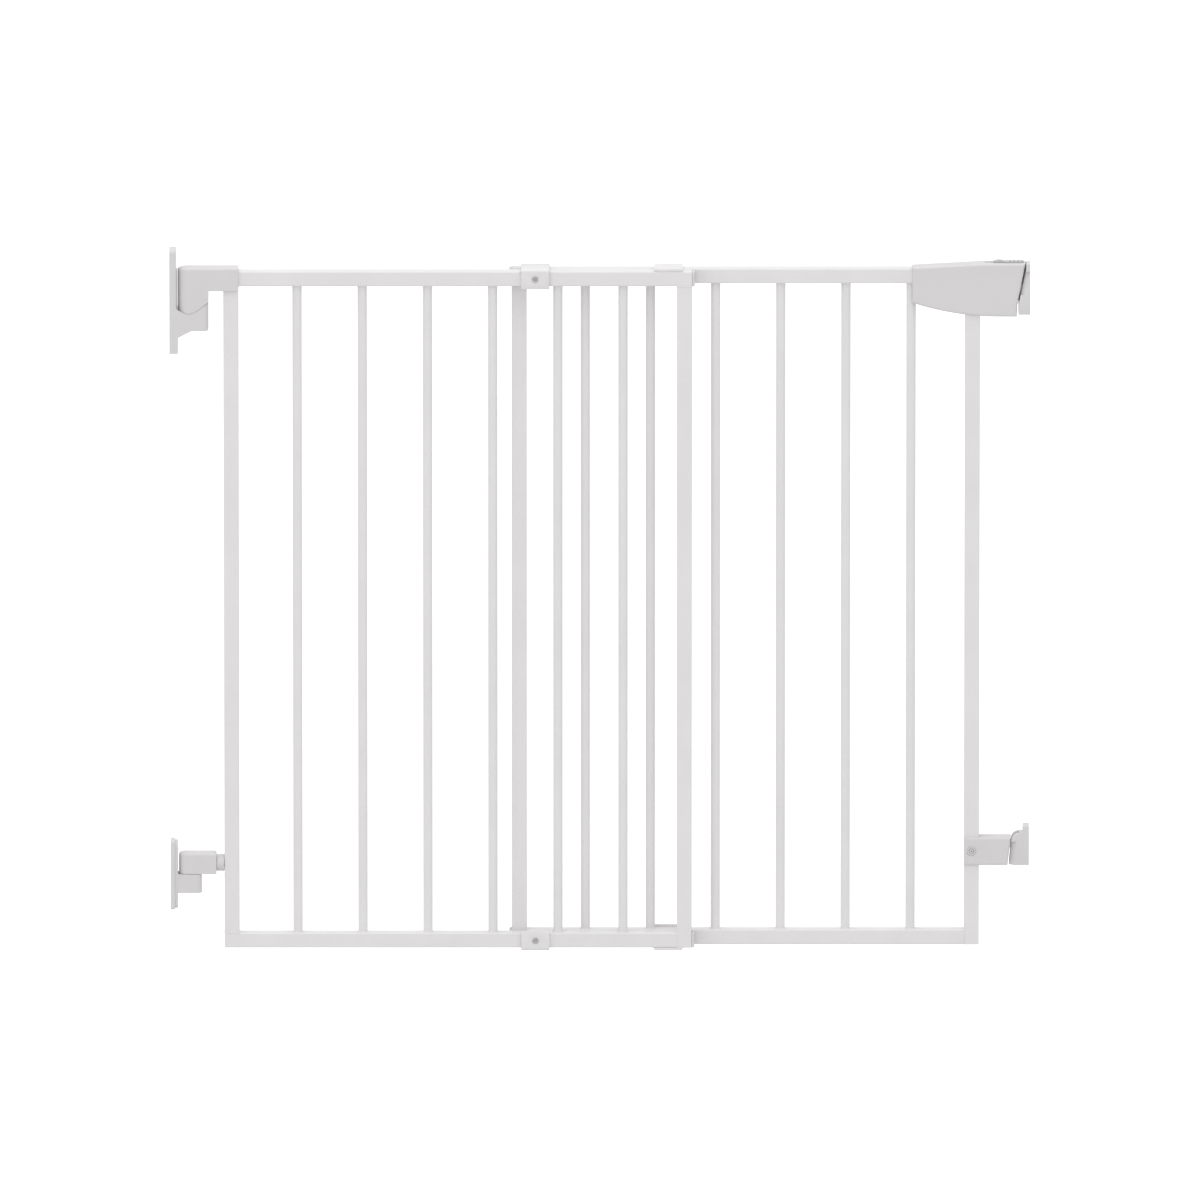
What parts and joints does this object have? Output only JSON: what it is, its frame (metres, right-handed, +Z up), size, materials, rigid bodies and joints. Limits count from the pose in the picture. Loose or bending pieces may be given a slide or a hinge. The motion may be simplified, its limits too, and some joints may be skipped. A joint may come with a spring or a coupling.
{
  "type": "safety baby gate",
  "caption": "Wall-fixed child safety gate: two overlapping barred tube panels that slide for width, lift-and-swing wall hinges and a spring latch with wall strikes.",
  "frame": {"origin": "centre of the lower hinge plate's wall face, in the hinge panel's mid plane", "axes": "+X from the hinge wall to the latch wall, +Z up, -Y the side the gate opens to"},
  "size_m": [0.911, 0.0411, 0.7573],
  "materials": {
    "white_paint": "semi-gloss powder coat",
    "white_plastic": "fine satin moulding",
    "grey_plastic": "satin moulding",
    "zinc_screws": "dull zinc",
    "white_screws": "white lacquered",
    "zinc_steel": "zinc plated"
  },
  "bodies": {
    "wall_hardware": {"upper_hinge_bracket": "white_plastic", "lower_hinge_bracket": "white_plastic"},
    "latch_wall_hardware": {"upper_strike": "white_plastic", "lower_strike": "white_plastic"},
    "hinge_pins": {"upper_hinge_pin": "zinc_steel", "lower_hinge_pin": "zinc_steel"},
    "level_nut": {"lower_hinge_nut": "white_plastic"},
    "latch_slide": {"latch_bolt": "grey_plastic", "thumb_slide": "grey_plastic", "bolt_spring": "zinc_steel"},
    "hinge_panel": {"front_clamp_lower": "white_paint", "front_clamp_lower_screw": "zinc_screws", "front_clamp_upper": "white_paint", "front_clamp_upper_screw": "zinc_screws", "hinge_arm_screw": "zinc_screws", "hinge_panel_bar_1": "white_paint", "hinge_panel_bar_2": "white_paint", "hinge_panel_bar_3": "white_paint", "hinge_panel_bar_4": "white_paint", "hinge_panel_bar_5": "white_paint", "hinge_panel_bar_6": "white_paint", "hinge_panel_bottom_cap": "white_plastic", "hinge_panel_bottom_rail": "white_paint", "hinge_panel_end_post": "white_paint", "hinge_panel_foot_plug": "white_plastic", "hinge_panel_hinge_post": "white_paint", "hinge_panel_side_plug": "white_plastic", "hinge_panel_top_cap": "white_plastic", "hinge_panel_top_rail": "white_paint", "lower_hinge_eye": "white_plastic", "lower_hinge_spindle": "zinc_steel", "upper_hinge_arm": "white_plastic"},
    "latch_panel": {"bottom_catch": "zinc_steel", "bottom_latch_bracket": "white_plastic", "bottom_latch_nut": "white_screws", "bottom_latch_screw": "white_screws", "latch_housing_back": "white_plastic", "latch_housing_front": "white_plastic", "latch_housing_screws": "zinc_screws", "latch_panel_bar_1": "white_paint", "latch_panel_bar_2": "white_paint", "latch_panel_bar_3": "white_paint", "latch_panel_bar_4": "white_paint", "latch_panel_bar_5": "white_paint", "latch_panel_bar_6": "white_paint", "latch_panel_bottom_cap": "white_plastic", "latch_panel_bottom_rail": "white_paint", "latch_panel_end_post": "white_paint", "latch_panel_foot_plug": "white_plastic", "latch_panel_head_plug": "white_plastic", "latch_panel_latch_post": "white_paint", "latch_panel_top_cap": "white_plastic", "latch_panel_top_rail": "white_paint", "rear_clamp_lower": "white_paint", "rear_clamp_lower_screw": "zinc_screws", "rear_clamp_upper": "white_paint", "rear_clamp_upper_screw": "zinc_screws"}
  },
  "joints": [
    {"name": "gate_lift", "type": "slide", "parent": "wall_hardware", "child": "hinge_pins", "axis": [0, 0, 1], "range_m": [0, 0.014]},
    {"name": "gate_swing", "type": "hinge", "parent": "hinge_pins", "child": "hinge_panel", "pos_m": [0.02, 0, 0], "axis": [0, 0, 1], "range_deg": [-90, 0]},
    {"name": "panel_extension", "type": "slide", "parent": "hinge_panel", "child": "latch_panel", "axis": [1, 0, 0], "range_m": [-0.225, 0.108]},
    {"name": "doorway_width", "type": "slide", "parent": "wall_hardware", "child": "latch_wall_hardware", "axis": [1, 0, 0], "range_m": [-0.225, 0.108]},
    {"name": "bolt_draw", "type": "slide", "parent": "latch_panel", "child": "latch_slide", "axis": [-1, 0, 0], "range_m": [0, 0.009], "stiffness_N_per_m": 400, "springref_m": -0.006, "deforming": ["bolt_spring"]},
    {"name": "level_nut_turn", "type": "hinge", "parent": "hinge_panel", "child": "level_nut", "pos_m": [0.05, 0, 0.012], "axis": [1, 0, 0], "range_deg": [-180, 180]}
  ],
  "couplings": [
    {"joint": "doorway_width", "follows": "panel_extension", "ratio": 1}
  ]
}
